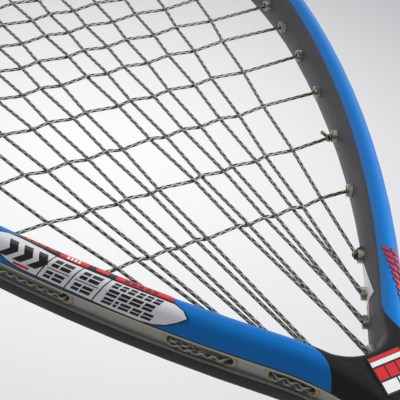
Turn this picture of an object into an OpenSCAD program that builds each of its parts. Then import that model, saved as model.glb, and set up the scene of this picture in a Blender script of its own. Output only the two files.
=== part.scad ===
// Squash racket: one-piece hollow carbon frame, woven string bed, grommet strips,
// bumper guard, decals and a wrapped handle.
// The origin is the middle of the racket's length, on its centre line and in the
// plane of the strings. +Y runs to the head's tip, +X to one arm, +Z out of the front face.

/* [Overall] */
// Length from the butt cap to the bumper guard
overall_length = 686; // [670:1:686]
// Width of the head over the frame tube
head_width = 214; // [204:1:214]

/* [Frame tube] */
// Width of the tube in the plane of the strings
tube_width = 10; // [9:0.5:11]
// Depth of the tube across the plane of the strings
tube_depth = 20; // [18:0.5:22]
// Radius of the rounded front and back edges of the tube
edge_radius = 3.75; // [3:0.05:4]
// Thickness of the tube's wall
wall = 1.3; // [1:0.1:1.5]
// Width of the channel round the outside of the head
channel_width = 6.4; // [6:0.1:7]
// Distance from the tube's centre line out to the floor of the channel
channel_floor = 2.6; // [2.4:0.1:2.8]

/* [Head outline] */
// Radius of the centre line at the tip of the head
tip_radius = 80; // [78:1:84]
// Turn of the centre line from the tip to the shoulder, in degrees
tip_turn = 58; // [56:1:60]
// Radius of the centre line just below the widest place
side_radius = 263; // [255:1:270]
// Turn of the centre line below the widest place, in degrees
side_turn = 18; // [17:0.5:19]
// Radius of the centre line along the arms
arm_radius = 500; // [480:5:520]
// Slope of the arms where they reach the throat, in degrees from the shaft
arm_slope = 36; // [34:0.5:38]
// Radius of the round bottom of the head's opening
throat_round = 9; // [8:0.5:10]
// Distance from the centre line to each tube of the shaft
shaft_offset = 4.6; // [4.4:0.1:4.8]

/* [Strings] */
// Diameter of the string
string_d = 1.1; // [1:0.05:1.2]
// Distance from the tip's centre line down to the lowest cross string
lowest_cross = 321; // [318:1:324]
// Radius of a grommet barrel
barrel_r = 2; // [1.9:0.05:2.1]
// Radius of the hole through a grommet barrel
bore_r = 1.3; // [1.25:0.05:1.4]
// Length of a barrel inside the head
barrel_reach = 1.6; // [1:0.1:2]

/* [Bumper guard] */
// Thickness of the bumper guard over the tube
guard_t = 1.2; // [1:0.1:1.5]
// Half of the angle of the head that the guard covers, as the frame's heading
guard_turn = 71; // [71:0.5:72]

/* [Handle] */
// Width of the handle's pallets
pallet_w = 28; // [27:0.5:30]
// Depth of the handle's pallets
pallet_d = 23.5; // [23:0.5:26]
// Cut of the pallets' corners
pallet_cut = 5.5; // [4:0.5:6.5]
// Length of the pallets
pallet_length = 204; // [190:1:210]
// Thickness of the grip tape
grip_t = 1.8; // [1.5:0.1:2.2]
// Width of the butt cap's rim
butt_w = 38; // [36:0.5:40]
// Depth of the butt cap's rim
butt_d = 33.5; // [32:0.5:36]

/* [Decals] */
// Thickness of a decal's film
film_t = 0.12; // [0.1:0.01:0.2]

/* [Hidden] */

round_fn = 96;
arc_fn = 720;
far = 60;
web_tail = 54;
web_d = tube_depth - 0.4;
web_inset = 0.1;
tube_a = tube_width / 2;
tube_b = tube_depth / 2;
y_tip = overall_length / 2 - guard_t - tube_a;
y_butt = -overall_length / 2;
head_half = (head_width - tube_width) / 2;

// The centre line of the frame's right half is a chain of arcs. The heading of the
// centre line is 0 at the tip, 90 at the widest place and 90 + arm_slope at the throat.
shoulder_radius = tip_radius + (head_half - tip_radius) / (1 - sin(tip_turn));
radii = [tip_radius, shoulder_radius, side_radius, arm_radius];
headings = [0, tip_turn, 90, 90 + side_turn, 90 + arm_slope];
function out_of(h) = [sin(h), cos(h)];
function centre(i) = i == 0 ? [0, y_tip - tip_radius]
    : centre(i - 1) + (radii[i - 1] - radii[i]) * out_of(headings[i]);
function arc_at(h) = h < headings[1] ? 0 : h < headings[2] ? 1 : h < headings[3] ? 2 : 3;
// The point at heading h, moved out from the centre line by e
function head_at(h, e = 0) = centre(arc_at(h)) + (radii[arc_at(h)] + e) * out_of(h);

// At the throat each tube turns back into the shaft round a centre outside the frame
arm_end = head_at(headings[4]);
throat_radius = (arm_end[0] - shaft_offset) / (1 - cos(arm_slope));
throat_centre = arm_end + throat_radius * out_of(headings[4]);
function throat_at(h, e = 0) = throat_centre - (throat_radius - e) * out_of(h);
inner_reach = throat_radius + tube_a;
throat_round_y = throat_centre[1]
    + sqrt(pow(inner_reach + throat_round, 2) - pow(throat_centre[0], 2));

// Gaps between the cross strings, from the lowest one up
cross_gaps = [27, 25, 23, 20, 16, 15, 13.5, 13, 13, 13, 13, 13, 12.5, 12.5, 12.5, 13, 12.5, 12, 16];
crosses = len(cross_gaps) + 1;
function cross_y(i) = i == 0 ? y_tip - lowest_cross : cross_y(i - 1) + cross_gaps[i - 1];
mouth = tube_a + barrel_reach;
// The heading at which a barrel's mouth lies at height y
function heading_in(i, y) = acos((y - centre(i)[1]) / (radii[i] - mouth));
function heading_y(y, i = 3) = i == 0 || heading_in(i, y) > headings[i] ? heading_in(i, y)
    : heading_y(y, i - 1);
cross_holes = [for (i = [0:crosses - 1]) heading_y(cross_y(i))];

// Holes of the main strings, from the middle outwards: the top ones by their heading,
// where the fourth and fifth share a hole with the two highest cross strings
main_tops = [3.2, 15.8, 24.5, cross_holes[crosses - 1], cross_holes[crosses - 2], 67.3, 77.7];
lone_tops = [for (k = [0, 1, 2, 5, 6]) main_tops[k]];
// Holes at the throat: three on each arm, and one through the turn into the shaft
arm_holes = [for (y = [-12.5, -26.5, -36.5]) heading_y(y)];
turn_hole = 117;
guard_end = guard_turn;
strip_end = 104;

// Lining of the channel, and the strings' places in it
strip_t = 0.9;
strip_gap = 0.05;
channel_e = channel_floor + strip_t + string_d / 2 + 0.1;
lift = string_d / 2 + 0.05;
run_step = 6;
foot_clear = 8;
knot_gap = 0.6;
knot_l = 2.2;
knot_r = 0.6;

// Decals
panel_from = 115.2;
panel_to = 123.1;
panel_in = -2.4;
panel_low = 4;
flash_from = 122.9;
flash_to = 125.9;
flash_in = -2.2;
flash_low = 8.4;
badge_top = -57.3;
badge_h = 13.7;
badge_w = 10.6;
badge_x = 2;
badge_lean = 3.6;
badge_t = 0.4;

// Handle
pallet_low = y_butt + 2;
pallet_high = pallet_low + pallet_length;
rim_top = y_butt + 5;
skirt_t = 1;
skirt_top = y_butt + 23;
flare_grow = (butt_w - pallet_w) / 2 - 0.4;
flare_top = y_butt + 26;
grip_top = pallet_high - 6;
tape_lap = 6;
tape_t = 0.3;
tape_top = pallet_high - 1;
collar_t = 1.2;
collar_low = pallet_high - 8;
collar_top = pallet_high + 10;
staple_y = y_butt + 15;
staple_w = 7;
staple_r = 0.4;
staple_leg = 5;
tack_y = y_butt + 10;
tack_r = 0.5;
tack_l = 8;
tack_head = 0.4;
tack_head_r = 1.8;

function bare(h) = h > guard_end;
strip_holes = concat([for (h = cross_holes) if (bare(h)) h], [for (h = lone_tops) if (bare(h)) h],
    arm_holes);
guard_holes = concat([for (h = cross_holes) if (!bare(h)) h], [for (h = lone_tops) if (!bare(h)) h]);

// ---- The tube's section: x runs outwards, y runs to the front ----

module oval(grow = 0) {
    a = tube_a + grow;
    r = edge_radius + grow;
    z = tube_b - edge_radius;
    side = (a * a + z * z - r * r) / (2 * (a - r));
    for (s = [-1, 1]) translate([0, s * z]) circle(r, $fn = round_fn);
    intersection() {
        translate([a - side, 0]) circle(side, $fn = arc_fn);
        translate([side - a, 0]) circle(side, $fn = arc_fn);
        square([2 * a, 2 * z * side / (side - r)], center = true);
    }
}

module channel() {
    translate([channel_floor, -channel_width / 2]) square([far, channel_width]);
}

module hollow() {
    difference() {
        oval(-wall);
        translate([channel_floor - wall, -channel_width / 2 - wall])
            square([far, channel_width + 2 * wall]);
    }
}

module tube_section() {
    difference() {
        oval();
        hollow();
        channel();
    }
}

module shaft_section() {
    difference() {
        oval();
        oval(-wall);
    }
}

// ---- Sweeps of a section along the frame ----

// A move in three steps of falling size, so that neighbouring arcs meet without a gap
module place(v) {
    whole = [round(v[0]), round(v[1])];
    part = [round((v[0] - whole[0]) * 1e5), round((v[1] - whole[1]) * 1e5)] / 1e5;
    translate(whole) translate(part) translate([v[0], v[1]] - whole - part) children();
}

module arc(i, from, to) {
    place(centre(i)) rotate_extrude(angle = to - from, start = 90 - to, $fn = arc_fn)
        place([radii[i], 0]) children();
}

// The children swept along the head between two headings of the right half
module along_head(from, to) {
    for (i = [0:3]) {
        a = max(from, headings[i]);
        b = min(to, headings[i + 1]);
        if (b > a) arc(i, a, b) children();
    }
}

module along_turn(from, to) {
    place(throat_centre) rotate_extrude(angle = from - to, start = 270 - from, $fn = arc_fn)
        place([throat_radius, 0]) mirror([1, 0]) children();
}

module along_y(low, high) {
    place([0, high]) rotate([90, 0, 0]) linear_extrude(high - low) children();
}

module both_sides() {
    children();
    mirror([1, 0, 0]) children();
}

// A rod along a hole of the frame, from e = low to e = high
module rod(p, h, r, low, high) {
    translate([p[0], p[1], 0]) rotate(90 - h) rotate([0, 90, 0])
        translate([0, 0, low]) cylinder(r = r, h = high - low, $fn = 48);
}

// ---- Frame ----

// Clears the round bottom of the opening, and leaves it the rounded side of a tube
module round_bottom() {
    reach = throat_round + tube_a;
    place([0, throat_round_y]) rotate_extrude($fn = arc_fn) difference() {
        translate([0, -far / 2]) square([reach, far]);
        place([reach, 0]) oval(-web_inset);
    }
}

// The solid bridge between the tubes' centre lines, below the round bottom of the opening
module throat_web() {
    low = throat_centre[1];
    reach = throat_centre[0];
    difference() {
        linear_extrude(web_d, center = true) {
            translate([-shaft_offset, low - web_tail]) square([2 * shaft_offset, web_tail + 1]);
            difference() {
                polygon([[0, throat_round_y], [reach, low], [-reach, low]]);
                for (s = [-1, 1]) place([s * reach, low]) circle(throat_radius, $fn = arc_fn);
            }
        }
        round_bottom();
    }
}

// The first child swept along the head and throat, and the second along the shaft
module tubes() {
    both_sides() {
        along_head(0, headings[4]) children(0);
        along_turn(headings[4], strip_end) children(0);
        along_turn(strip_end, 90) children(1);
        along_y(y_butt + 2, throat_centre[1]) place([shaft_offset, 0]) children(1);
    }
}

module frame_body() {
    difference() {
        union() {
            tubes() {
                difference() {
                    oval();
                    channel();
                }
                oval();
            }
            throat_web();
        }
        tubes() {
            hollow();
            oval(-wall);
        }
    }
}

module frame() {
    hole_r = barrel_r + 0.05;
    color("#1267b5") difference() {
        frame_body();
        both_sides() {
            for (h = concat(strip_holes, guard_holes)) rod(head_at(h), h, hole_r, -far / 4, far / 4);
            rod(throat_at(turn_hole), turn_hole, hole_r, -far / 4, far / 4);
        }
    }
}

// ---- Grommets and bumper guard ----

// The lining of the frame's channel, with a lip at each side of the strings
module lining(lip) {
    half = channel_width / 2 - strip_gap;
    difference() {
        translate([channel_floor, -half]) square([lip - channel_floor, 2 * half]);
        translate([channel_floor + strip_t, strip_t - half]) square([far, 2 * (half - strip_t)]);
    }
}

module barrel(p, h) {
    rod(p, h, barrel_r, -mouth, channel_floor + strip_t / 2);
}

module bore(p, h) {
    rod(p, h, bore_r, -mouth - 1, channel_floor + far / 4);
}

module grommet_strip() {
    lip = tube_a - 0.4;
    difference() {
        union() {
            along_head(guard_end, headings[4]) lining(lip);
            along_turn(headings[4], strip_end + 0.5) lining(lip);
            for (h = strip_holes) barrel(head_at(h), h);
            barrel(throat_at(turn_hole), turn_hole);
        }
        for (h = strip_holes) bore(head_at(h), h);
        bore(throat_at(turn_hole), turn_hole);
    }
}

module grommet_strip_left() {
    color("#b9a56a") mirror([1, 0, 0]) grommet_strip();
}

module grommet_strip_right() {
    color("#b9a56a") grommet_strip();
}

// The guard wraps the outer edges of the tube and lines its channel
module guard_section() {
    half = channel_width / 2 - strip_gap;
    cover = 2 * (tube_b - edge_radius);
    difference() {
        intersection() {
            oval(guard_t);
            translate([channel_floor, -cover / 2]) square([far, cover]);
        }
        difference() {
            oval();
            translate([0, -half]) square([far, 2 * half]);
        }
        translate([channel_floor + strip_t, strip_t - half]) square([far, 2 * (half - strip_t)]);
    }
}

module bumper_guard() {
    color("#2f3033") difference() {
        both_sides() union() {
            along_head(0, guard_end - 0.2) guard_section();
            for (h = guard_holes) barrel(head_at(h), h);
        }
        both_sides() for (h = guard_holes) bore(head_at(h), h);
    }
}

// ---- Strings ----

function unit(v) = v / norm(v);
function side_of(v) = [v[1], -v[0], 0] / norm([v[0], v[1]]);
function flip(points) = [for (i = [len(points) - 1:-1:0]) [-points[i][0], points[i][1], points[i][2]]];
function lifted(p, z) = [p[0], p[1], z];

// A string along points, with mitred bends and a radius for each point
module string_tube(points, r) {
    n = 8;
    last = len(points) - 1;
    ways = [for (i = [0:last - 1]) unit(points[i + 1] - points[i])];
    rings = [for (i = [0:last])
        let (before = ways[max(i - 1, 0)], after = ways[min(i, last - 1)],
            side = side_of(before + after), wide = 1 / (side * side_of(after)))
        for (k = [0:n - 1])
            points[i] + r[i] * (wide * cos(360 * k / n) * side + [0, 0, sin(360 * k / n)])];
    walls = [for (i = [0:last - 1]) for (k = [0:n - 1])
        [i * n + k, i * n + (k + 1) % n, (i + 1) * n + (k + 1) % n, (i + 1) * n + k]];
    ends = [[for (k = [n - 1:-1:0]) k], [for (k = [0:n - 1]) last * n + k]];
    polyhedron(rings, concat(walls, ends));
}

// Points along the channel between two headings, without the ends
function channel_run(a, b, z) = let (n = max(1, ceil(abs(b - a) / run_step)))
    n < 2 ? [] : [for (i = [1:n - 1]) lifted(head_at(a + (b - a) * i / n, channel_e), z)];

// The foot and the top of the right half's main string m, counted from the middle
function foot(m, e) = m < 2 ? throat_at(turn_hole, e) : head_at(arm_holes[floor((7 - m) / 2)], e);
function top(m, e) = head_at(main_tops[m], e);

// Main string m from its foot to its top. It stays over the cross strings and
// comes down to height z only below the lowest of them.
function main_leg(m, z) = let (low = foot(m, -mouth), high = top(m, -mouth),
    t = (cross_y(0) - foot_clear - low[1]) / (high[1] - low[1]))
    [lifted(foot(m, channel_e), z), lifted(low, z), lifted(low + t * (high - low), lift),
        lifted(high, lift), lifted(top(m, channel_e), lift)];
function back(points) = [for (i = [len(points) - 1:-1:0]) points[i]];

// The right half of the main string, from the middle of the tip to its tied end
main_half = concat(
    back(main_leg(0, lift)),
    main_leg(2, lift), channel_run(main_tops[2], main_tops[1], lift), back(main_leg(1, -lift)),
    main_leg(3, -lift), channel_run(main_tops[3], main_tops[4], lift), back(main_leg(4, lift)),
    main_leg(6, lift), channel_run(main_tops[6], main_tops[5], lift), back(main_leg(5, -lift)),
    [for (e = [channel_e, -mouth, -mouth - knot_gap, -mouth - knot_gap - knot_l])
        lifted(foot(6, e), -lift)]);

// Cross string i, from the right end to the left one
function cross_leg(i) = let (h = cross_holes[i], a = head_at(h, channel_e), b = head_at(h, -mouth))
    [lifted(a, -lift), lifted(b, -lift), [-b[0], b[1], -lift], [-a[0], a[1], -lift]];
function mirrored(points) = [for (p = points) [-p[0], p[1], p[2]]];
cross_path = concat(
    [for (e = [-mouth - knot_gap - knot_l, -mouth - knot_gap, -mouth, channel_e])
        lifted(head_at(cross_holes[1], e), lift)],
    [for (i = [0:crosses - 1]) each concat(i % 2 == 0 ? cross_leg(i) : back(cross_leg(i)),
        i == crosses - 1 ? [] : let (run = channel_run(cross_holes[i], cross_holes[i + 1], -lift))
            i % 2 == 0 ? mirrored(run) : run)],
    channel_run(cross_holes[crosses - 1], main_tops[2], -lift),
    [for (e = [channel_e, -mouth, -mouth - knot_gap, -mouth - knot_gap - knot_l])
        lifted(top(2, e), -lift)]);

// The radius of each point: the last two points of both ends make a knot
function knotted(points) = [for (i = [0:len(points) - 1])
    min(i, len(points) - 1 - i) < 2 ? knot_r : string_d / 2];

module main_string() {
    points = concat(flip(main_half), main_half);
    color("#d9dbe0") string_tube(points, knotted(points));
}

module cross_string() {
    color("#d9dbe0") string_tube(cross_path, knotted(cross_path));
}

// ---- Decals ----

// A film round the tube's front, from its inner edge at x = inner down to height low outside
module film_section(inner, low) {
    intersection() {
        difference() {
            oval(film_t);
            oval();
        }
        translate([inner, low]) square(far);
    }
}

module panel_decal() {
    mirror([1, 0, 0]) along_head(panel_from, panel_to) film_section(panel_in, panel_low);
}

module flash_decal() {
    along_head(flash_from, flash_to) film_section(flash_in, flash_low);
}

module throat_badge() {
    half = badge_w / 2;
    translate([badge_x, badge_top, web_d / 2]) linear_extrude(badge_t)
        polygon([[-half, 0], [half, 0], [half - badge_lean, -badge_h], [-half - badge_lean, -badge_h]]);
}

module on_back() {
    rotate([0, 180, 0]) children();
}

module panel_decal_front() {
    color("#c4c9cf") panel_decal();
}

module panel_decal_back() {
    color("#c4c9cf") on_back() panel_decal();
}

module flash_decal_front() {
    color("#c8202f") flash_decal();
}

module flash_decal_back() {
    color("#c8202f") on_back() flash_decal();
}

module throat_badge_front() {
    color("#c8202f") throat_badge();
}

module throat_badge_back() {
    color("#c8202f") on_back() throat_badge();
}

// ---- Handle ----

module octagon(w, d, cut) {
    x = w / 2;
    z = d / 2;
    polygon([[x, cut - z], [x, z - cut], [x - cut, z], [cut - x, z],
        [-x, z - cut], [-x, cut - z], [cut - x, -z], [x - cut, -z]]);
}

// A block of the handle's shape, grown on every side, between two heights
module grip_block(low, high, grow) {
    along_y(low, high) octagon(pallet_w + 2 * grow, pallet_d + 2 * grow, pallet_cut + 0.6 * grow);
}

module shaft_core(low, high) {
    both_sides() along_y(low, high) place([shaft_offset, 0]) oval();
}

// A staple across the front of the butt cap's skirt, and one across the back
module staple_wire(grow = 0) {
    z = pallet_d / 2 + skirt_t + staple_r;
    for (s = [-1, 1]) {
        translate([-staple_w / 2 - grow, staple_y, s * z]) rotate([0, 90, 0])
            cylinder(r = staple_r + grow, h = staple_w + 2 * grow, $fn = 24);
        for (x = [-1, 1]) translate([x * (staple_w / 2 - staple_r), staple_y, s * (z - staple_leg / 2)])
            cylinder(r = staple_r, h = staple_leg, center = true, $fn = 24);
    }
}

module tack_shape() {
    x = pallet_w / 2 + flare_grow;
    translate([x - tack_l, tack_y, 0]) rotate([0, 90, 0]) cylinder(r = tack_r, h = tack_l, $fn = 24);
    translate([x - tack_head, tack_y, 0]) rotate([0, 90, 0])
        cylinder(r = tack_head_r, h = tack_head, $fn = 32);
}

module pallet(side) {
    difference() {
        along_y(pallet_low, pallet_high) intersection() {
            octagon(pallet_w, pallet_d, pallet_cut);
            translate([-far, side > 0 ? 0 : -far]) square([2 * far, far]);
        }
        shaft_core(pallet_low - 1, pallet_high + 1);
        staple_wire();
        tack_shape();
    }
}

module pallet_front() {
    color("#3a3a3c") pallet(1);
}

module pallet_back() {
    color("#3a3a3c") pallet(-1);
}

module butt_cap() {
    rim_grow = (butt_w - pallet_w) / 2;
    color("#1b1b1d") difference() {
        union() {
            hull() {
                grip_block(y_butt, y_butt + 0.5, rim_grow - 1.5);
                grip_block(y_butt + 1.5, rim_top, rim_grow);
            }
            grip_block(y_butt + 1, skirt_top, skirt_t);
        }
        grip_block(pallet_low, skirt_top + 1, 0);
        staple_wire();
        tack_shape();
    }
}

module butt_cap_staples() {
    color("#b9bcc0") staple_wire();
}

module grip_wrap() {
    color("#202124") difference() {
        union() {
            grip_block(rim_top, grip_top, grip_t);
            hull() {
                grip_block(rim_top, rim_top + 1, flare_grow);
                grip_block(flare_top, flare_top + 1, grip_t);
            }
        }
        grip_block(rim_top - 1, skirt_top, skirt_t);
        grip_block(skirt_top - 1, grip_top + 1, 0);
        staple_wire(0.1);
        tack_shape();
    }
}

module grip_tack() {
    color("#c9a95a") tack_shape();
}

module finishing_tape() {
    color("#141416") difference() {
        grip_block(grip_top - tape_lap, tape_top, grip_t + tape_t);
        grip_block(grip_top - tape_lap - 1, grip_top, grip_t);
        grip_block(grip_top - 1, tape_top + 1, 0);
    }
}

module rubber_collar() {
    color("#161617") difference() {
        hull() {
            grip_block(collar_low, collar_low + 3, grip_t + tape_t + collar_t);
            grip_block(collar_top - 1, collar_top, collar_t - 2.2);
        }
        grip_block(collar_low - 1, tape_top, grip_t + tape_t);
        grip_block(tape_top - 1, pallet_high, 0);
        shaft_core(pallet_high - 1, collar_top + 1);
    }
}

frame();
bumper_guard();
grommet_strip_left();
grommet_strip_right();
main_string();
cross_string();
panel_decal_front();
panel_decal_back();
flash_decal_front();
flash_decal_back();
throat_badge_front();
throat_badge_back();
pallet_front();
pallet_back();
butt_cap();
butt_cap_staples();
grip_wrap();
grip_tack();
finishing_tape();
rubber_collar();
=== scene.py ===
"""Squash racket: materials, woven strings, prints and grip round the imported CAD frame."""

import math

import bmesh
import bpy
from mathutils import Matrix, Vector


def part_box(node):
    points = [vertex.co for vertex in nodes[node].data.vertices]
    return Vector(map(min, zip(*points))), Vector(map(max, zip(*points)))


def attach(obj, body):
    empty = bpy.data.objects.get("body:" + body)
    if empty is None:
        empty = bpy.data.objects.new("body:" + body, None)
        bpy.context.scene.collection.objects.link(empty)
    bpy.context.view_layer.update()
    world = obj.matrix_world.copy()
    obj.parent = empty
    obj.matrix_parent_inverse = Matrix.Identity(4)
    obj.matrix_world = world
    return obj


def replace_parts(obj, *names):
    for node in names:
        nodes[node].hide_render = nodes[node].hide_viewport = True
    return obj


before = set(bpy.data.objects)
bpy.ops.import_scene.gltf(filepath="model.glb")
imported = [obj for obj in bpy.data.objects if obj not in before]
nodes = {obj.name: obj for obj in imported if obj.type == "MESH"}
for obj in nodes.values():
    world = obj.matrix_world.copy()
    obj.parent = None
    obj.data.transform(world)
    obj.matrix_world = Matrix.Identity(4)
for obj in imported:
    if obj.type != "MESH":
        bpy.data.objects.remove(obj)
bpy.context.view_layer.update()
MM = 0.001

# ---------------------------------------------------------------- racket's outline, in mm
# The same chain of arcs as the CAD model. A heading is 0 at the tip and 90 at the widest place.
TUBE_A, TUBE_B, EDGE_R = 5.0, 10.0, 3.75
Y_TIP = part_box("frame")[1].y / MM - TUBE_A
HEAD_HALF = 102.0
HEADINGS = (0.0, 58.0, 90.0, 108.0, 126.0)
SHOULDER = 80.0 + (HEAD_HALF - 80.0) / (1 - math.sin(math.radians(58)))
RADII = (80.0, SHOULDER, 263.0, 500.0)
SHAFT_X = 4.6
CHANNEL_FLOOR = 2.6


def out_of(h):
    """The direction out of the head at a heading."""
    return Vector((math.sin(math.radians(h)), math.cos(math.radians(h))))


CENTRES = [Vector((0, Y_TIP - RADII[0]))]
for k in (1, 2, 3):
    CENTRES.append(CENTRES[-1] + (RADII[k - 1] - RADII[k]) * out_of(HEADINGS[k]))


def head_at(h, e=0.0):
    """The centre line of the head's tube, moved out by e."""
    k = 0 if h < HEADINGS[1] else 1 if h < HEADINGS[2] else 2 if h < HEADINGS[3] else 3
    return CENTRES[k] + (RADII[k] + e) * out_of(h)


ARM_END = head_at(HEADINGS[4])
THROAT_R = (ARM_END.x - SHAFT_X) / (1 - math.cos(math.radians(36)))
THROAT_C = ARM_END + THROAT_R * out_of(HEADINGS[4])


def throat_at(h, e=0.0):
    """The centre line where the arms turn in to the shaft, moved out by e."""
    return THROAT_C - (THROAT_R - e) * out_of(h)


def line_at(h, e=0.0):
    """The tube's centre line, moved out by e. Past the arm's end the heading goes on rising."""
    return head_at(h, e) if h <= HEADINGS[4] else throat_at(2 * HEADINGS[4] - h, e)


# The oval section, walked by the distance w round it from the crest of the front face
SECTION_Z = TUBE_B - EDGE_R
SIDE_R = (TUBE_A**2 + SECTION_Z**2 - EDGE_R**2) / (2 * (TUBE_A - EDGE_R))
JOIN = math.atan2(SECTION_Z, SIDE_R - TUBE_A)
EDGE_L = EDGE_R * (math.pi / 2 - JOIN)
SIDE_L = 2 * SIDE_R * JOIN


def section(w, grow=0.0):
    """Distance out from the centre line, and height, of the skin at distance w, raised by grow."""
    side, w = (1 if w >= 0 else -1), abs(w)
    if w < EDGE_L:
        a = math.pi / 2 - w / EDGE_R
        e, z = EDGE_R * math.cos(a), SECTION_Z + EDGE_R * math.sin(a)
    elif w < EDGE_L + SIDE_L:
        a = JOIN - (w - EDGE_L) / SIDE_R
        e, z = TUBE_A - SIDE_R + SIDE_R * math.cos(a), SIDE_R * math.sin(a)
    else:
        a = -JOIN - (w - EDGE_L - SIDE_L) / EDGE_R
        e, z = EDGE_R * math.cos(a), -SECTION_Z + EDGE_R * math.sin(a)
    return side * (e + grow * math.cos(a)), z + grow * math.sin(a)


def skin(h, w, grow=0.0):
    """The point of the right arm's skin at heading h and distance w from the front crest."""
    e, z = section(w, grow)
    p = line_at(h, e)
    return Vector((p.x, p.y, z))


# ---------------------------------------------------------------- node trees
class Value:
    """A number in a node tree. Arithmetic on it adds Math nodes."""

    def __init__(self, tree, socket):
        self.tree, self.socket = tree, socket

    def __add__(self, o):
        return op("ADD", self, o)

    def __radd__(self, o):
        return op("ADD", o, self)

    def __sub__(self, o):
        return op("SUBTRACT", self, o)

    def __rsub__(self, o):
        return op("SUBTRACT", o, self)

    def __mul__(self, o):
        return op("MULTIPLY", self, o)

    __rmul__ = __mul__

    def __truediv__(self, o):
        return op("DIVIDE", self, o)

    def __gt__(self, o):
        return op("GREATER_THAN", self, o)

    def __lt__(self, o):
        return op("LESS_THAN", self, o)


def op(kind, *args):
    """A Math node on numbers and Values."""
    tree = next(a.tree for a in args if isinstance(a, Value))
    node = tree.nodes.new("ShaderNodeMath")
    node.operation = kind
    for socket, a in zip(node.inputs, args):
        if isinstance(a, Value):
            tree.links.new(a.socket, socket)
        else:
            socket.default_value = a
    return Value(tree, node.outputs[0])


def ramp(x, low, high):
    """0 below low, 1 above high, and smooth between."""
    node = x.tree.nodes.new("ShaderNodeMapRange")
    node.interpolation_type = "SMOOTHSTEP"
    x.tree.links.new(x.socket, node.inputs[0])
    node.inputs[1].default_value, node.inputs[2].default_value = low, high
    return Value(x.tree, node.outputs[0])


def pick(test, yes, no):
    """yes where the test is 1, and no where it is 0."""
    return no + test * (yes - no)


def srgb(code):
    """The linear colour of a code such as #1b2c3d."""
    raw = [int(code[i : i + 2], 16) / 255 for i in (1, 3, 5)]
    return tuple(c / 12.92 if c <= 0.04045 else ((c + 0.055) / 1.055) ** 2.4 for c in raw) + (1.0,)


def mix(tree, share, a, b):
    """A colour between a and b, each a colour code or a colour socket."""
    node = tree.nodes.new("ShaderNodeMix")
    node.data_type = "RGBA"
    tree.links.new(share.socket, node.inputs[0])
    for socket, c in ((node.inputs[6], a), (node.inputs[7], b)):
        if isinstance(c, str):
            socket.default_value = srgb(c)
        else:
            tree.links.new(c, socket)
    return node.outputs[2]


class Paint:
    """A material with a Principled shader, and the nodes that feed it."""

    def __init__(self, name, rough=0.5, **sockets):
        self.mat = bpy.data.materials.new(name)
        self.mat.use_nodes = True
        self.tree = self.mat.node_tree
        self.shader = self.tree.nodes["Principled BSDF"]
        self.shader.inputs["Roughness"].default_value = rough
        for key, value in sockets.items():
            self.shader.inputs[key.replace("_", " ")].default_value = value
        self.coord = self.tree.nodes.new("ShaderNodeTexCoord")

    def axes(self, output="Object", scale=1.0 / MM):
        """The three coordinates, in mm for a place on the object."""
        node = self.tree.nodes.new("ShaderNodeSeparateXYZ")
        self.tree.links.new(self.coord.outputs[output], node.inputs[0])
        found = [Value(self.tree, s) for s in node.outputs]
        return found if scale == 1 else [v * scale for v in found]

    def noise(self, size, detail=2.0, stretch=(1, 1, 1), output="Object", unit=MM):
        """Smooth noise from 0 to 1 with features about size units across."""
        node = self.tree.nodes.new("ShaderNodeTexNoise")
        node.inputs["Scale"].default_value = 1 / (size * unit)
        node.inputs["Detail"].default_value = detail
        move = self.tree.nodes.new("ShaderNodeMapping")
        move.inputs["Scale"].default_value = stretch
        self.tree.links.new(self.coord.outputs[output], move.inputs[0])
        self.tree.links.new(move.outputs[0], node.inputs["Vector"])
        return Value(self.tree, node.outputs["Fac"])

    def colour(self, socket):
        self.tree.links.new(socket, self.shader.inputs["Base Color"])

    def mix(self, share, a, b):
        return mix(self.tree, share, a, b)

    def rough(self, value):
        self.tree.links.new(value.socket, self.shader.inputs["Roughness"])

    def link(self, name, value):
        self.tree.links.new(value.socket, self.shader.inputs[name])

    def bump(self, height, depth, strength=1.0):
        """height is from 0 to 1, and depth is what 1 stands for, in mm."""
        node = self.tree.nodes.new("ShaderNodeBump")
        node.inputs["Strength"].default_value = strength
        node.inputs["Distance"].default_value = depth * MM
        self.tree.links.new(height.socket, node.inputs["Height"])
        self.tree.links.new(node.outputs[0], self.shader.inputs["Normal"])


def tube_coordinates(paint):
    """The distance e out from the tube's centre line and the height z, with x and y, in mm."""
    x, y, z = paint.axes()
    x = op("ABSOLUTE", x)

    def polar(c, sign=1.0):
        """Distance from an arc's centre, and heading seen from it."""
        dx, dy = (x - c.x) * sign, (y - c.y) * sign
        return op("SQRT", dx * dx + dy * dy), op("ARCTAN2", dx, dy) * (180 / math.pi)

    e = x - SHAFT_X
    r, _ = polar(THROAT_C, -1.0)
    e = pick(y > THROAT_C.y, THROAT_R - r, e)
    for k in (3, 2, 1, 0):
        r, h = polar(CENTRES[k])
        e = pick(h < HEADINGS[k + 1], r - RADII[k], e)
    return e, z, x, y


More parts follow.
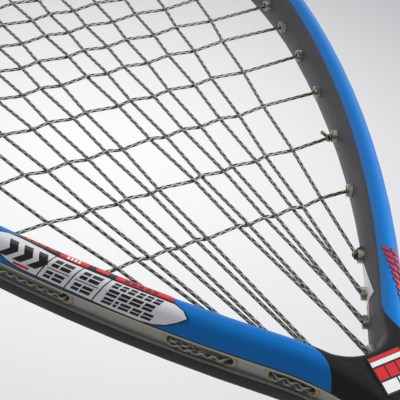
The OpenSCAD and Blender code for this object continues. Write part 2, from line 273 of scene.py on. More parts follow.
# ---------------------------------------------------------------- materials of the CAD nodes
def frame_lacquer():
    """Satin blue on the front of the head, near-black carbon at the throat and behind, and the same carbon
    inside the head painted a lighter grey as painted sheen.
    """
    p = Paint("frame_lacquer", Specular_IOR_Level=0.15, Coat_Roughness=0.25, Coat_IOR=1.4)
    e, z, x, y = tube_coordinates(p)
    # The blue covers the front of the tube, and ends at the throat in a round tongue
    face_z, face_e, arm_y = 3.42, -2.85, -41.5
    face = (z > face_z) * (e > face_e)
    tongue_x, tongue_y, tongue_r = 31.2, -50.0, 18.9
    dx, dy = x - tongue_x, y - tongue_y
    tongue = (dx * dx + dy * dy) < tongue_r**2
    blue = face * op("MAXIMUM", y > arm_y, tongue)
    fine = p.noise(0.35, 1.0)
    cloud = p.noise(24, 3.0)
    lacquer = p.mix(cloud, "#0067b2", "#016dbb")
    # Painted sheen: inside the head, away from the front and back faces, the near-black carbon is painted a
    # lighter grey, standing in for the bright floor it reflects.
    inner = ramp(e, -1.5, -3.5) * ramp(op("ABSOLUTE", z), 9.6, 8.4)
    carbon = p.mix(p.noise(14, 4.0), "#18181a", "#1e1e20")
    wall_painted_sheen = p.mix(p.noise(18, 3.0, (1, 1, 2)), "#47474a", "#545457")
    p.colour(p.mix(blue, p.mix(inner, carbon, wall_painted_sheen), lacquer))
    p.link("Coat Weight", 0.03 + 0.09 * blue)
    p.rough(0.5 - 0.12 * blue + 0.1 * (cloud - 0.5))
    p.bump(fine, 0.006, 0.5)
    return p.mat


def satin_plastic(name, dark, light, rough, grain, depth):
    """Moulded plastic or foam with a grain of its own size and depth in mm."""
    p = Paint(name, rough=rough)
    p.colour(p.mix(p.noise(9, 4.0), dark, light))
    p.rough(rough + 0.16 * (p.noise(3, 3.0) - 0.5))
    p.bump(p.noise(grain, 2.0), depth, 0.6)
    return p.mat


def guard_nylon():
    """Moulded nylon, with the pale scuffs of play along its outer edge."""
    p = Paint("guard_nylon", rough=0.42)
    e, _, _, y = tube_coordinates(p)
    scuff = ramp(p.noise(1.6, 5.0, (1, 1, 4)), 0.58, 0.72) * ramp(e, 4.6, 6.2) * ramp(y, 250, 330)
    p.colour(p.mix(scuff * 0.6, "#1b1c1e", "#7a7b7c"))
    p.rough(0.4 + 0.3 * scuff + 0.1 * (p.noise(2, 3.0) - 0.5))
    p.bump(p.noise(0.3, 2.0) + scuff * 0.8, 0.02, 0.7)
    return p.mat


def strip_nylon():
    """Smoky nylon: tan towards its front lip, a darker grey at its back lip as painted shade, pale at its
    barrels, and a painted shadow in the gap beside it.
    """
    p = Paint("strip_nylon", IOR=1.52, Specular_IOR_Level=0.4, Coat_Weight=0.15, Coat_Roughness=0.25)
    e, z, _, _ = tube_coordinates(p)
    streaks = p.noise(5, 3.0, (1, 1, 6))
    drift = p.noise(2.0, 4.0, (1, 1, 2))
    lip = op("MAXIMUM", ramp(z, 1.0, 2.2), ramp(z, -1.9, -2.5))
    # Painted shadow: the narrow gap at the strip's front edge is painted near-black.
    crack_shadow = ramp(z, 2.75, 3.0)
    outer = ramp(e, 1.8, 3.2)
    floor = p.mix(streaks, "#8f918c", "#aeafa7")
    # Painted shade: the back lip is a darker grey than the tan front lip, because it faces away from the
    # light.
    edge = p.mix(ramp(z, -0.5, 0.5), "#5f5e59", p.mix(streaks, "#a89e80", "#c2b999"))
    barrel = p.mix(ramp(drift, 0.4, 0.6), "#6d6c63", "#d2cbb0")
    p.colour(p.mix(outer, barrel, p.mix(crack_shadow, p.mix(lip, floor, edge), "#2c2922")))
    p.rough(0.3 + 0.2 * p.noise(2.5, 3.0))
    p.bump(p.noise(1.2, 3.0, (1, 1, 3)), 0.03, 0.6)
    return p.mat


def wound_tape(pitch, start):
    """Tacky grip tape: a fine leather grain, rows of small punched holes, and each lap darker towards its
    end, near-black at the seam.
    """
    p = Paint("grip_tape", rough=0.7, Sheen_Weight=0.08, Sheen_Roughness=0.5)
    u, v, _ = p.axes("UV", 1)
    lap = op("FRACT", (v - start) / pitch)
    seam = op("MAXIMUM", ramp(lap, 0.05, 0.01), ramp(lap, 0.97, 0.995))
    hole_step = 3.4
    row = op("FLOOR", v / hole_step)
    du = op("FRACT", u / hole_step + row * 0.5) - 0.5
    dv = op("FRACT", v / hole_step) - 0.5
    hole = 1 - ramp(op("SQRT", du * du + dv * dv), 0.1, 0.15)
    grain = p.noise(0.5, 3.0)
    worn = p.noise(16, 3.0)
    # Each lap goes darker towards the seam at its end.
    tape = p.mix(ramp(lap, 0.05, 0.9), p.mix(worn, "#222326", "#2a2b2e"), "#18191b")
    p.colour(p.mix(op("MAXIMUM", hole, seam), tape, "#08080a"))
    p.rough(0.62 + 0.2 * grain)
    p.bump(grain * 0.35 + (1 - hole) * 0.65, 0.12, 0.8)
    return p.mat


def ribbed_rubber():
    """Black rubber with fine ribs round it."""
    p = Paint("collar_rubber", rough=0.6)
    _, y, _ = p.axes()
    rib = op("ABSOLUTE", op("FRACT", y / 2.4) - 0.5) * 2
    p.colour(p.mix(p.noise(7, 3.0), "#141416", "#1d1d20"))
    p.rough(0.55 + 0.15 * p.noise(1.0, 2.0))
    p.bump(ramp(rib, 0.1, 0.5) * 0.8 + 0.2 * p.noise(0.3, 1.0), 0.12, 0.8)
    return p.mat


def vinyl():
    """Smooth black tape with a few soft creases."""
    p = Paint("tape_vinyl", rough=0.28)
    p.colour(p.mix(p.noise(6, 3.0), "#0f0f11", "#17171a"))
    p.rough(0.24 + 0.16 * p.noise(3.0, 4.0))
    p.bump(p.noise(1.8, 2.0, (1, 3, 1)), 0.03, 0.5)
    return p.mat


def wire_metal(name, dark, light, rough):
    """Drawn metal, streaked along its length."""
    p = Paint(name, rough=rough, Metallic=1.0)
    p.colour(p.mix(p.noise(0.8, 4.0, (1, 1, 5)), dark, light))
    p.rough(rough + 0.2 * (p.noise(0.5, 3.0) - 0.5))
    p.bump(p.noise(0.2, 2.0), 0.01, 0.5)
    return p.mat


def badge_resin():
    """The badge's domed resin: plain slanted bars of red and white on black."""
    p = Paint("badge_resin", Coat_Weight=0.5, Coat_Roughness=0.1)
    low, high = (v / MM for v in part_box("throat_badge_front"))
    width = 10.6  # across the badge, whose sides lean over within its box
    lean = (high.x - width - low.x) / (high.y - low.y)
    x, y, z = p.axes()
    x = op("SIGN", z) * x
    down = high.y - y
    along = x + down * lean - (high.x - width)

    def bar(top, bottom, left, right):
        return (down > top) * (down < bottom) * (along > left) * (along < right)

    red = bar(0.25, 1.5, 0.3, 10.3)
    for left in (0.5, 3.9, 7.3):
        red = red + bar(4.1, 8.3, left, left + 2.9)
    white = bar(1.75, 3.4, 0.3, 10.3)
    for left in (0.5, 5.6):
        white = white + bar(9.0, 12.9, left, left + 4.6)
    face = p.mix(red, "#161617", "#c6141f")
    p.colour(p.mix(white, face, "#dcdcdc"))
    p.rough(0.3 + 0.1 * p.noise(2, 2.0))
    p.bump(p.noise(0.8, 2.0), 0.01, 0.4)
    return p.mat


def give(node, material):
    """Puts one material on every slot of a CAD node."""
    obj = nodes[node]
    if not obj.material_slots:
        obj.data.materials.append(material)
    for s in obj.material_slots:
        s.material = material


lacquer = frame_lacquer()
strip = strip_nylon()
give("frame", lacquer)
give("bumper_guard", guard_nylon())
give("grommet_strip_left", strip)
give("grommet_strip_right", strip)
foam = satin_plastic("pallet_foam", "#2c2c2e", "#38383a", 0.8, 0.6, 0.06)
give("pallet_front", foam)
give("pallet_back", foam)
give("butt_cap", satin_plastic("cap_plastic", "#121214", "#1b1b1e", 0.45, 0.35, 0.03))
give("butt_cap_staples", wire_metal("staple_steel", "#9a9c9f", "#c3c5c8", 0.3))
give("grip_tack", wire_metal("tack_brass", "#a4813a", "#c9a860", 0.28))
give("finishing_tape", vinyl())
give("rubber_collar", ribbed_rubber())
badge = badge_resin()
give("throat_badge_front", badge)
give("throat_badge_back", badge)


# ---------------------------------------------------------------- meshes
def add_piece(name, mesh, materials):
    """A piece of the racket from a finished mesh, riding on its one body."""
    for m in materials:
        mesh.materials.append(m)
    obj = bpy.data.objects.new(name, mesh)
    bpy.context.scene.collection.objects.link(obj)
    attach(obj, "root")
    return obj


def add_mesh(name, points, faces, material, uvs=None):
    """A smooth piece from points in mm, with an optional UV pair for every corner of every face."""
    mesh = bpy.data.meshes.new(name)
    mesh.from_pydata([tuple(c * MM for c in p) for p in points], [], faces)
    if uvs is not None:
        layer = mesh.uv_layers.new(name="UVMap")
        layer.data.foreach_set("uv", [c for face in uvs for pair in face for c in pair])
    for poly in mesh.polygons:
        poly.use_smooth = True
    mesh.update()
    return add_piece(name, mesh, [material])


def ring_quads(rings, around, base=0):
    """The faces between rings of points that follow each other in a list."""
    for j in range(rings - 1):
        for k in range(around):
            n = (k + 1) % around
            a, b = base + j * around, base + (j + 1) * around
            yield a + k, a + n, b + n, b + k


# ---------------------------------------------------------------- strings
# Mains and cross strings are numbered from 0: mains out from the middle, crosses up from the throat
STRING_R = 0.55
MOUTH = 6.6  # how far in from the centre line a barrel opens
CHANNEL_E = 4.15  # how far out from it a string lies in the channel
PAIR_Z = 0.6  # half the distance between two strings that share a hole
# Spaces between the cross strings, from the throat up
GAPS = (27, 25, 23, 20, 16, 15, 13.5, 13, 13, 13, 13, 13, 12.5, 12.5, 12.5, 13, 12.5, 12, 16)
CROSS_Y = [Y_TIP - 321.0]
for gap in GAPS:
    CROSS_Y.append(CROSS_Y[-1] + gap)
CROSSES = len(CROSS_Y)
ARM_HOLE_Y = (-12.5, -26.5, -36.5)
TURN_HOLE = 2 * HEADINGS[4] - 117.0
GUARD_END = 71.5  # the heading at which the bumper guard gives way to the strips


def heading_of(y):
    """The heading of the hole whose barrel opens at height y."""
    for k in (3, 2, 1, 0):
        h = math.degrees(math.acos((y - CENTRES[k].y) / (RADII[k] - MOUTH)))
        if k == 0 or h > HEADINGS[k]:
            return h


CROSS_H = [heading_of(y) for y in CROSS_Y]
TOP_H = [3.2, 15.8, 24.5, CROSS_H[-1], CROSS_H[-2], 67.3, 77.7]
ARM_H = [heading_of(y) for y in ARM_HOLE_Y]
FOOT_H = [TURN_HOLE if m < 2 else ARM_H[(7 - m) // 2] for m in range(7)]
PITCH = 7.0  # length of string in which its braid repeats
WEAVE_MAIN, WEAVE_CROSS = 0.47, 0.6
CLEAR_FOOT, CLEAR_TOP = 4.0, 1.5  # strings that cross nearer than this to a hole aren't woven there


def spot(h, e, z):
    """The point at a heading, e out from the centre line and z in front of the middle plane."""
    p = line_at(h, e)
    return Vector((p.x, p.y, z))


def mirrored(points):
    """The same points on the other side of the racket."""
    return [Vector((-p.x, p.y, p.z)) for p in points]


def main_leg(m, foot_z):
    """Right-hand main m from its foot to its top, over and under the cross strings."""
    low, high = spot(FOOT_H[m], -MOUTH, foot_z), spot(TOP_H[m], -MOUTH, 0)
    column = 7 + m
    points = [spot(FOOT_H[m], CHANNEL_E, foot_z), low]
    for i, y in enumerate(CROSS_Y):
        if low.y + CLEAR_FOOT < y < high.y - CLEAR_TOP:
            p = low.lerp(high, (y - low.y) / (high.y - low.y))
            p.z = WEAVE_MAIN if (i + column) % 2 == 0 else -WEAVE_MAIN
            points.append(p)
    return points + [high, spot(TOP_H[m], CHANNEL_E, 0)]


def main_x(m, y):
    """How far from the middle main m is at height y."""
    low, high = spot(FOOT_H[m], -MOUTH, 0), spot(TOP_H[m], -MOUTH, 0)
    return low.x + (high.x - low.x) * (y - low.y) / (high.y - low.y)


def cross_leg(i):
    """Cross string i from the right end to the left one."""
    y, h = CROSS_Y[i], CROSS_H[i]
    points = [spot(h, CHANNEL_E, 0), spot(h, -MOUTH, 0)]
    half = points[-1].x
    for column in range(13, -1, -1):
        m, side = (column - 7, 1) if column > 6 else (6 - column, -1)
        top = spot(TOP_H[m], -MOUTH, 0)
        if y < top.y - CLEAR_TOP and main_x(m, y) < half - CLEAR_TOP:
            z = -WEAVE_CROSS if (i + column) % 2 == 0 else WEAVE_CROSS
            points.append(Vector((side * main_x(m, y), y, z)))
    return points + mirrored([points[1], points[0]])


def flat(z):
    """A run that stays at one height."""
    return lambda t: z


def swap(z):
    """A run that goes over from one height to its opposite."""
    return lambda t: z * math.cos(math.pi * t)


def channel_run(a, b, z=flat(0.0), e=flat(CHANNEL_E)):
    """Points in the channel between two headings, without the ends; z and e go by the share of the way."""
    n = max(3, int(abs(b - a) * 1.2) + 1)
    return [spot(a + (b - a) * t / n, e(t / n), z(t / n)) for t in range(1, n)]


def smooth_path(points):
    """The path with rounded corners, as points a step apart."""
    fine_step, step, window = 0.2, 0.6, 1.6
    fine, left = [points[0].copy()], 0.0
    for a, b in zip(points, points[1:]):
        length = (b - a).length
        at = fine_step - left
        while at <= length:
            fine.append(a.lerp(b, at / length))
            at += fine_step
        left = length - (at - fine_step)
    fine.append(points[-1].copy())
    half = int(window / fine_step / 2)
    last = len(fine) - 1
    # Two passes of a running mean, which narrows towards both ends
    for _ in range(2):
        sums, total = [Vector((0, 0, 0))], Vector((0, 0, 0))
        for p in fine:
            total = total + p
            sums.append(total)
        reach = [min(half, k, last - k) for k in range(last + 1)]
        fine = [(sums[k + r + 1] - sums[k - r]) / (2 * r + 1) for k, r in enumerate(reach)]
    skip = round(step / fine_step)
    return fine[::skip] + ([fine[-1]] if last % skip else [])


def tube(path, radius, sides=10):
    """Points, faces and UVs of a tube along a path; u goes round it and v along it, in braid pitches."""
    points, runs = [], []
    across, run = Vector((0, 0, 1)), 0.0
    for k, p in enumerate(path):
        way = (path[min(k + 1, len(path) - 1)] - path[max(k - 1, 0)]).normalized()
        across = (across - way * across.dot(way)).normalized()
        other = way.cross(across)
        for s in range(sides):
            a = 2 * math.pi * s / sides
            points.append(p + radius * (math.cos(a) * across + math.sin(a) * other))
        if k:
            run += (p - path[k - 1]).length
        runs.append(run / PITCH)
    faces = list(ring_quads(len(path), sides))
    uvs = []
    for v0, v1 in zip(runs, runs[1:]):
        for s in range(sides):
            u0, u1 = s / sides, (s + 1) / sides
            uvs.append(((u0, v0), (u1, v0), (u1, v1), (u0, v1)))
    end = (len(path) - 1) * sides
    for base, v, order in ((0, 0.0, range(sides - 1, -1, -1)), (end, runs[-1], range(sides))):
        faces.append(tuple(base + s for s in order))
        uvs.append(tuple((s / sides, v) for s in order))
    return points, faces, uvs


def braided():
    """Black and pearl filaments braided round a clear core."""
    p = Paint("string", Specular_IOR_Level=0.35, Coat_Weight=0.1, Coat_Roughness=0.2)
    u, v, _ = p.axes("UV", 1)
    ribbons = []
    for turn, wide in ((2.0, 0.15), (-2.0, 0.12)):
        off = op("ABSOLUTE", op("FRACT", u * 2 + v * turn) - 0.5)
        ribbons.append(ramp(off, wide + 0.03, wide - 0.03))
    pearl = op("MAXIMUM", ribbons[0], ribbons[1] * 0.85)
    strand = p.noise(0.05, 2.0, (3, 60, 1), "UV", 1.0)
    pale = p.mix(strand, "#8f8a80", "#b9b3a8")
    dark = p.mix(strand, "#162021", "#273637")
    p.colour(p.mix(pearl, dark, pale))
    p.rough(0.3 + 0.2 * strand)
    p.bump(pearl * 0.7 + strand * 0.3, 0.05, 0.6)
    return p.mat


def knot_round(centre, axis, start):
    """A string's end: two turns round its neighbour, then a short cut tail."""
    turns, radius, rise, tail, steps = 2, 0.98, 0.95, 2.4, 28
    u = (start - centre) - axis * (start - centre).dot(axis)
    u.normalize()
    v = axis.cross(u)
    points = []
    for k in range(steps + 1):
        turned = turns * k / steps
        a = 2 * math.pi * turned
        points.append(centre + axis * (rise * turned) + radius * (math.cos(a) * u + math.sin(a) * v))
    way = (points[-1] - points[-2]).normalized()
    for share in (0.6, 0.4):
        points.append(points[-1] + way * tail * share + axis * 0.2)
    return points


def half_main(side):
    """Half of the main string's route, from the middle of the tip to the end tied at the throat."""
    z = PAIR_Z
    # Which of the two strings in a foot hole is in front; a loop between holes lies over the one under it
    legs = [main_leg(m, foot_z) for m, foot_z in enumerate((z, -z, z, -z, z, -z, -z))]
    legs[3][-1].z = legs[3][-2].z = legs[4][-1].z = legs[4][-2].z = z
    if side < 0:
        for leg in legs:
            for p in leg[2:-2]:
                p.z = -p.z
    feet = TURN_HOLE, ARM_H[2], ARM_H[1], ARM_H[0]

    def proud(t):
        """Further out in the channel, to pass over the loop beneath."""
        return CHANNEL_E + 0.35 + 0.45 * math.sin(math.pi * t)

    path = legs[0][::-1]
    path += channel_run(feet[0], feet[1], flat(z)) + legs[2]
    path += channel_run(TOP_H[2], TOP_H[1]) + legs[1][::-1]
    path += channel_run(feet[0], feet[1], flat(-z)) + legs[3]
    path += channel_run(TOP_H[3], TOP_H[4], flat(z)) + legs[4][::-1]
    path += channel_run(feet[2], feet[3], swap(z), proud) + legs[6]
    path += channel_run(TOP_H[6], TOP_H[5]) + legs[5][::-1]
    path += channel_run(feet[2], feet[3], swap(-z), flat(CHANNEL_E - 0.02))
    way = (legs[6][2] - legs[6][1]).normalized()
    start = spot(feet[3], -MOUTH, z)
    path += [spot(feet[3], CHANNEL_E, z), start]
    path += knot_round(legs[6][1] + way * 0.1, way, start)
    return path if side > 0 else mirrored(path)


def main_path():
    """The main string's whole route, from one tied end to the other."""
    return half_main(-1)[::-1] + half_main(1)


def cross_path():
    """The cross string's route, from the end tied at the throat to the one tied near the tip."""
    z = PAIR_Z
    legs = [cross_leg(i) for i in range(CROSSES)]
    for leg in legs[-2:]:
        for k in (0, 1, -2, -1):
            leg[k].z = -z
    way = (legs[1][2] - legs[1][1]).normalized()
    start = spot(CROSS_H[1], -MOUTH, 1.1)
    path = knot_round(legs[1][1] + way * 0.1, way, start)[::-1]
    path += [start, spot(CROSS_H[1], CHANNEL_E, z)]
    legs[1][0].z = -0.5
    path += channel_run(CROSS_H[1], CROSS_H[0], lambda t: z * (1 - t))
    for i, leg in enumerate(legs):
        path += leg[:: -1 if i % 2 else 1]
        if i < CROSSES - 1:
            z0, z1 = leg[0].z, legs[i + 1][0].z
            run = channel_run(CROSS_H[i], CROSS_H[i + 1], lambda t: z0 * (1 - t) + z1 * t)
            path += run if i % 2 else mirrored(run)
    path += channel_run(CROSS_H[-1], TOP_H[2], flat(-z))
    foot, inner = spot(TOP_H[2], CHANNEL_E, -z), spot(TOP_H[2], -MOUTH, -1.1)
    main = main_leg(2, 0)
    way = (main[-3] - main[-2]).normalized()
    return path + [foot, inner] + knot_round(main[-2] + way * 0.1, way, inner)


braid = braided()
for name, path in (("main_string", main_path()), ("cross_string", cross_path())):
    points, faces, uvs = tube(smooth_path(path), STRING_R)
    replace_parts(add_mesh(name + "_woven", points, faces, braid, uvs), name)


def eyelets(name, side):
    """Moulded rims round one strip's holes, on the floor of the channel."""
    floor_e, around = CHANNEL_FLOOR + 0.9, 28
    # Each ring of a rim as its radius and its height over the floor, from inside the hole outwards
    rings = ((1.32, -0.4), (1.32, 0.1), (1.5, 0.22), (2.15, 0.2), (2.35, 0.0))
    points, faces = [], []
    for h in [h for h in CROSS_H + TOP_H[5:] + ARM_H + [TURN_HOLE] if h > GUARD_END]:
        base = len(points)
        slope = math.radians(h if h <= HEADINGS[4] else 2 * HEADINGS[4] - h)
        tangent = Vector((math.cos(slope), -math.sin(slope)))
        for r, up in rings:
            centre = line_at(h, floor_e + up)
            for k in range(around):
                a = 2 * math.pi * k / around
                p = centre + tangent * r * math.cos(a)
                points.append((side * p.x, p.y, r * math.sin(a)))
        faces += [q if side > 0 else q[::-1] for q in ring_quads(len(rings), around, base)]
    add_mesh(name, points, faces, rim_nylon)


rim_nylon = satin_plastic("rim_nylon", "#8a7d5b", "#b3a67f", 0.4, 0.4, 0.02)
eyelets("strip_rims_right", 1)
eyelets("strip_rims_left", -1)


# ---------------------------------------------------------------- prints on the skin
# Shapes are lists of (u, w) in mm: u along the arm from ARM_REF towards the throat, w round it
ARM_REF = 118.2
LEAN = 0.506  # how far a cell's edges slant along the arm for each mm round it
FILM = 0.13  # how far a print stands off the skin, and a level of ink off the one below
LEVEL = 0.012
HOLLOW = 0.15  # the frame's own mesh is this much proud of its true surface on the hollow side
BLACK, SILVER, RED, WHITE = range(4)

PANEL_TOP = [(-21.5, 1.0), (-19.6, 0.1), (-17.2, -0.75), (-12.7, -0.85), (-6, -0.5), (0, 0.05), (37.2, 0.25)]
PANEL_TIP = [(40.5, 1.4), (42.6, 3.33), (39.7, 5.5), (36.6, 7.3), (33, 8.4), (29, 8.85)]
PANEL_LOW = [(20, 8.75), (8, 8.35), (-8, 8.3), (-12.2, 8.0), (-15, 7.3), (-18.4, 5.9), (-23.4, 3.9)]
BAND = [(-15, -0.78), *PANEL_TOP[3:], (34.9, -2.4), (31, -5.2), (-6, -5.2), (-12, -3.6)]
WING = [(36.0, -10.6), (45.1, -13.8), (61.6, -18.9), (61.0, -15.4), (60.8, -10.6)]


def skin_point(u, w, mirror, back, grow):
    """The place of a print's point, raised off the skin by grow."""
    p = skin(ARM_REF + math.degrees(u / RADII[3]), w, grow)
    if mirror:
        p.x = -p.x
    if back:
        p.x, p.z = -p.x, -p.z
    return p


def patch(bm, shape, mirror, back, level, index, grid):
    """A shape laid on the skin, cut finely enough along u and w to follow it."""
    part = bmesh.new()
    part.faces.new([part.verts.new((u, w, 0)) for u, w in shape])
    for k, step in enumerate(grid):
        low, high = (end(p[k] for p in shape) for end in (min, max))
        across = Vector((1 - k, k, 0))
        at = math.ceil(low / step) * step
        while at < high:
            every = part.verts[:] + part.edges[:] + part.faces[:]
            bmesh.ops.bisect_plane(part, geom=every, plane_co=across * at, plane_no=across, dist=1e-6)
            at += step
    bmesh.ops.triangulate(part, faces=[f for f in part.faces if len(f.verts) > 4])
    made = {}
    for v in part.verts:
        u, w, _ = v.co
        rise = FILM + LEVEL * level + HOLLOW * min(1.0, max(0.0, -w / 3))
        low, high = (skin_point(u, w, mirror, back, rise + more) for more in (0, 1))
        made[v] = bm.verts.new(low * MM), high - low
    for f in part.faces:
        new = bm.faces.new([made[v][0] for v in f.verts])
        new.normal_update()
        if new.normal.dot(made[f.verts[0]][1]) < 0:
            new.normal_flip()
        new.material_index = index
        new.smooth = True
    part.free()


def leaning(u0, u1, w0, w1):
    """A bar with the cells' slant."""
    return [(u0 - LEAN * w0, w0), (u1 - LEAN * w0, w0), (u1 - LEAN * w1, w1), (u0 - LEAN * w1, w1)]


def inset(shape, by):
    """The closed shape moved in by a distance."""
    area = sum(a[0] * b[1] - b[0] * a[1] for a, b in zip(shape, shape[1:] + shape[:1]))
    turn = 1 if area > 0 else -1
    made = []
    for k in range(len(shape)):
        a, b, c = (Vector(shape[(k + j) % len(shape)]) for j in (-1, 0, 1))
        corner = Vector((0, 0))
        for way in (b - a, c - b):
            corner += Vector((-way.y, way.x)).normalized() * turn
        made.append(tuple(b + corner / max(0.25, corner.dot(corner) / 2) * by))
    return made


def clip(shape, line, keep):
    """The part of a convex shape on one side of the slanted line that starts at u = line."""

    def side(p):
        return (p[0] + LEAN * p[1] - line) * keep

    made = []
    for p, q in zip(shape, shape[1:] + shape[:1]):
        if side(p) >= 0:
            made.append(p)
        if side(p) * side(q) < 0:
            t = side(p) / (side(p) - side(q))
            made.append((p[0] + t * (q[0] - p[0]), p[1] + t * (q[1] - p[1])))
    return made


def print_material(name, light, dark):
    """Printed ink, slightly mottled, under a thin clear coat."""
    p = Paint(name, Specular_IOR_Level=0.3, Coat_Weight=0.1, Coat_Roughness=0.2)
    p.colour(p.mix(p.noise(0.22, 3.0), dark, light))
    p.rough(0.3 + 0.1 * (p.noise(3, 2.0) - 0.5))
    p.bump(p.noise(0.35, 1.0), 0.006, 0.5)
    return p.mat


PRINTS = [
    print_material("print_black", "#1b1c1e", "#141516"),
    print_material("print_silver", "#e0e1e4", "#d0d1d4"),
    print_material("print_red", "#d51622", "#c4121d"),
    print_material("print_white", "#e6e6e6", "#d8d9da"),
]


def print_piece(kind, back, draw, mirror, grid):
    """A print whose shapes draw lays down, each at an ink level and in one of the four inks.

    mirror puts it on the left arm, and grid is how finely it is cut along u and w, in mm.
    """
    face = "back" if back else "front"
    bm = bmesh.new()
    draw(lambda shape, level, ink: patch(bm, shape, mirror, back, level, ink, grid), back)
    mesh = bpy.data.meshes.new(f"{kind}_print_{face}")
    bm.normal_update()
    bm.to_mesh(mesh)
    bm.free()
    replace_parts(add_piece(mesh.name, mesh, PRINTS), f"{kind}_decal_{face}")


def draw_panel(lay, _):
    """The panel, the same on both faces: framed cells with plain blocks and bars."""
    outline = PANEL_TOP + PANEL_TIP + PANEL_LOW
    lay(outline, 0, BLACK)
    lay(BAND, 0, BLACK)
    second, third, last = 0.0, 9.16, 18.24
    rule = 0.22
    inner = inset(outline, 0.38)
    lay(clip(inner, second - rule, -1), 1, SILVER)
    lay(clip(clip(inner, second + rule, 1), third - rule, -1), 1, SILVER)
    lay(clip(clip(inner, third + rule, 1), last - rule, -1), 1, SILVER)
    lay(clip(inner, last + rule, 1), 1, SILVER)
    # First cell: three large arrowheads and a short red bar
    arrow = [(0, 1.0), (3.0, 1.0), (4.2, 3.5), (0.6, 6.2), (-2.4, 6.2), (1.2, 3.5)]
    for start in (-15.4, -10.4, -5.4):
        lay([(start + u, w) for u, w in arrow], 2, BLACK)
    lay(leaning(-8.6, -3.2, 6.7, 7.5), 2, RED)
    # Two cells with blocks over a rule, and blocks under it
    for start in (second, third):
        lay(leaning(start + 1.0, start + 8.2, 4.0, 4.28), 2, BLACK)
        for row in (1.15, 2.5, 4.9, 6.25):
            for u, wide in ((start + 1.5, 2.3), (start + 4.3, 3.2)):
                lay(leaning(u, u + wide, row, row + 1.0), 2, BLACK)
    # Last cell: three rows of split bars
    for row, high, u, widths in (
        (0.9, 1.6, 20.0, (2.0, 1.9, 2.1, 1.9, 2.0, 2.1)),
        (3.0, 2.0, 20.3, (3.2, 2.9, 3.3, 3.0)),
        (5.55, 2.0, 20.6, (3.0, 1.1, 3.1, 2.8, 3.0)),
    ):
        for wide in widths:
            for low, top in ((0.0, 0.43), (0.57, 1.0)):
                lay(leaning(u, u + wide, row + high * low, row + high * top), 2, BLACK)
            u += wide + 0.55
    # The band round the inner edge: red lengths with pale and black ticks
    for a, b, top in ((-12.0, -1.6, -1.25), (0.35, 9.7, -0.15), (12.0, 16.2, -0.45), (18.6, 34.5, -0.1)):
        lay([(a, top), (b, top), (b - 0.4, -2.9), (a - 0.4, -2.9)], 1, RED)
    lay([(34.5, -0.1), (36.8, 0.0), (34.7, -2.4), (34.1, -2.9)], 1, RED)
    for first, step, count, wide, top, low, ink in (
        (2.6, 1.2, 4, 0.7, -0.45, -1.9, WHITE),
        (-10.4, 2.6, 3, 0.8, -1.3, -2.6, BLACK),
        (21.2, 2.2, 5, 1.5, -0.5, -1.6, BLACK),
    ):
        for k in range(count):
            a = first + step * k
            lay([(a, top), (a + wide, top), (a + wide - 0.2, low), (a - 0.2, low)], 2, ink)
    lay([(-4.5, -3.3), (28.5, -3.3), (27.5, -4.8), (-3.5, -4.8)], 1, SILVER)
    # The pointed patch on the inner wall, and the red one beyond it
    lay(WING, 0, BLACK)
    lay(inset(WING, 0.3), 1, WHITE)
    lay([(61.4, -15.1), (70.5, -12.6), (70.5, -9.4), (61.2, -10.6)], 0, RED)


def draw_flash(lay, back):
    """The flash near the throat: slanted red strokes with dark edges, in one narrow line on the back."""
    drift = 0.12 if back else 0.52
    for line, count in ((0, 9),) if back else ((0, 9), (1, 6)):
        for k in range(count):
            a = 45.2 + 2.75 * k + 0.9 * line
            w = -1.5 + drift * k + 2.5 * line
            rise = 0.25 * math.sin(2.3 * k + line)
            top = [(a, w + rise), (a + 1.1, w - 0.1), (a + 2.5, w + 1.7)]
            stroke = top + [(a + 1.9, w + 2.0 + rise), (a + 0.6, w + 1.3)]
            lay(inset(stroke, -0.2), 0, BLACK)
            lay(stroke, 1, RED)


for back in (False, True):
    print_piece("panel", back, draw_panel, True, (2.0, 0.6))
for back in (False, True):
    print_piece("flash", back, draw_flash, False, (1.5, 0.5))


# ---------------------------------------------------------------- grip
def grip_walls(around):
    """The distance from the axis to the pallets' octagon with soft corners, at each angle round it."""
    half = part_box("pallet_front")[1] / MM
    half_w, half_d, cut = half.x, half.z, 5.5
    quarter = [Vector((half_w, half_d - cut)), Vector((half_w - cut, half_d))]
    corners = quarter + [Vector((-p.x, p.y)) for p in quarter[::-1]]
    corners += [-p for p in corners]
    sides = []
    for a, b in zip(corners, corners[1:] + corners[:1]):
        normal = Vector(((b - a).y, -(b - a).x)).normalized()
        sides.append((normal, a.dot(normal)))
    walls, sharpness = [], 22
    for k in range(around):
        angle = 2 * math.pi * k / around
        way = Vector((math.cos(angle), math.sin(angle)))
        total = sum(max(0.0, way.dot(normal) / far) ** sharpness for normal, far in sides)
        walls.append(total ** (-1 / sharpness))
    return walls, half_w


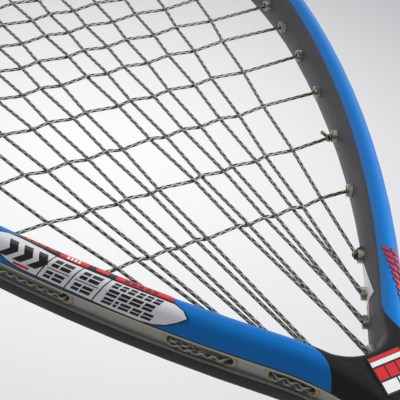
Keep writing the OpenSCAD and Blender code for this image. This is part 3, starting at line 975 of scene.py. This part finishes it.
def wound_grip():
    """The tape wound up the handle, each turn lapping the one below it."""
    low, high = (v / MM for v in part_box("grip_wrap"))
    pitch, around, step, tape, flare_length, girth = 21.0, 96, 0.7, 1.45, 21.0, 94
    walls, half_w = grip_walls(around)
    flare = 0.96 * (high.x - half_w - 1.8)
    rows = int((high.y - low.y) / step)
    heights = [low.y + (high.y - low.y) * j / rows for j in range(rows + 1)]
    points, uvs = [], []
    for y in heights:
        spread = flare * max(0.0, 1 - (y - low.y) / flare_length)
        for k in range(around):
            angle = 2 * math.pi * k / around
            # Each turn has a soft ridge over the lap below it, and a fine groove along its edge
            phase = ((y - low.y) / pitch - k / around) % 1.0
            ridge = 0.42 * math.exp(-(((phase - 0.12) / 0.05) ** 2))
            lap = min(0.32, ridge) if phase > 0.04 else 0.84 * phase
            groove = -0.7 * math.exp(-((min(phase, 1 - phase) / 0.022) ** 2))
            r = walls[k] + tape + spread + lap + groove
            points.append((r * math.cos(angle), y, r * math.sin(angle)))
    faces = [q[::-1] for q in ring_quads(rows + 1, around)]
    for y0, y1 in zip(heights, heights[1:]):
        for k in range(around):
            u0, u1 = k / around, (k + 1) / around
            corners = (u0, y1), (u1, y1), (u1, y0), (u0, y0)
            uvs.append([(u * girth, y - u * pitch) for u, y in corners])
    for base, order in ((0, range(around)), (rows * around, range(around - 1, -1, -1))):
        faces.append(tuple(base + k for k in order))
        uvs.append([(0.0, 0.0)] * around)
    obj = add_mesh("grip_wound", points, faces, wound_tape(pitch, low.y), uvs)
    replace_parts(obj, "grip_wrap")


wound_grip()


# ---------------------------------------------------------------- floor, light, camera
def floor_material():
    """Pale paper with a painted pool of light, a little darker away from the middle, glowing as painted
    light.
    """
    # Painted light: the floor glows in its own colour, though it is no lamp.
    p = Paint("floor_paper_painted_glow", rough=0.95, Specular_IOR_Level=0.1, Emission_Strength=0.25)
    x, y, _ = p.axes()
    # Painted pool of light: brightest round one spot and darker away from it.
    bright_x, bright_y, fade = 285, 620, 420
    dx, dy = x - bright_x, y - bright_y
    away = op("SQRT", dx * dx + dy * dy) / fade
    shade = p.mix(op("MINIMUM", op("POWER", away, 1.3), 1.0), "#f7f7f6", "#c3c3c6")
    p.colour(shade)
    p.tree.links.new(shade, p.shader.inputs["Emission Color"])
    p.bump(p.noise(1.5, 2.0), 0.02, 0.2)
    return p.mat


def paper_floor():
    """A wide sheet of paper well under the racket."""
    half, z = 5.0, -0.42
    mesh = bpy.data.meshes.new("floor")
    corners = [(-half, -half, z), (half, -half, z), (half, half, z), (-half, half, z)]
    mesh.from_pydata(corners, [], [(0, 1, 2, 3)])
    mesh.materials.append(floor_material())
    floor = bpy.data.objects.new("floor", mesh)
    bpy.context.scene.collection.objects.link(floor)


paper_floor()


def area_light(name, place, target, size, watts):
    """A square lamp aimed at a point, in metres."""
    data = bpy.data.lights.new(name, "AREA")
    data.shape, data.size, data.energy = "SQUARE", size, watts
    obj = bpy.data.objects.new(name, data)
    obj.location = place
    obj.rotation_euler = (Vector(target) - Vector(place)).to_track_quat("-Z", "Y").to_euler()
    bpy.context.scene.collection.objects.link(obj)


area_light("key", (-0.35, 0.95, 1.2), (0, 0, 0), 1.0, 8.5)
area_light("side", (0.5, -0.45, 0.35), (0.04, 0.0, 0), 0.35, 6.5)


def studio_world():
    """Bright low down behind the racket, and dim overhead and on the near side."""
    world = bpy.data.worlds.new("studio")
    world.use_nodes = True
    tree = world.node_tree
    coord = tree.nodes.new("ShaderNodeTexCoord")
    split = tree.nodes.new("ShaderNodeSeparateXYZ")
    tree.links.new(coord.outputs["Generated"], split.inputs[0])
    x, y, z = (Value(tree, s) for s in split.outputs)
    behind = ramp(x * 0.62 + y * 0.78, -0.3, 0.7) * ramp(z, 0.6, 0.1)
    background = tree.nodes["Background"]
    background.inputs["Color"].default_value = (0.97, 0.98, 1.0, 1)
    tree.links.new((0.38 + 0.85 * behind).socket, background.inputs["Strength"])
    bpy.context.scene.world = world


studio_world()


def studio_camera():
    """The view: close over the strings and throat, from the front, the left and below."""
    data = bpy.data.cameras.new("camera")
    data.sensor_width, data.lens = 36.0, 126.0
    data.clip_start, data.clip_end = 0.01, 20
    camera = bpy.data.objects.new("camera", data)
    bpy.context.scene.collection.objects.link(camera)
    # The turn from the racket's axes to the view's (right, down, away), as an axis times an angle,
    # and the place of the pivot in those axes, in mm
    pivot = Vector((0, 15.8, 0))
    turn = Vector((2.1548, -0.57584, 0.37491))
    seen = Matrix.Rotation(turn.length, 3, turn.normalized())
    offset = Vector((6.65, 9.46, 416.81))
    place = pivot - seen.transposed() @ offset
    axes = Matrix((seen[0], -seen[1], -seen[2])).transposed()
    camera.matrix_world = Matrix.Translation(place * MM) @ axes.to_4x4()
    bpy.context.scene.camera = camera


studio_camera()
bpy.context.scene.view_settings.view_transform = "Standard"
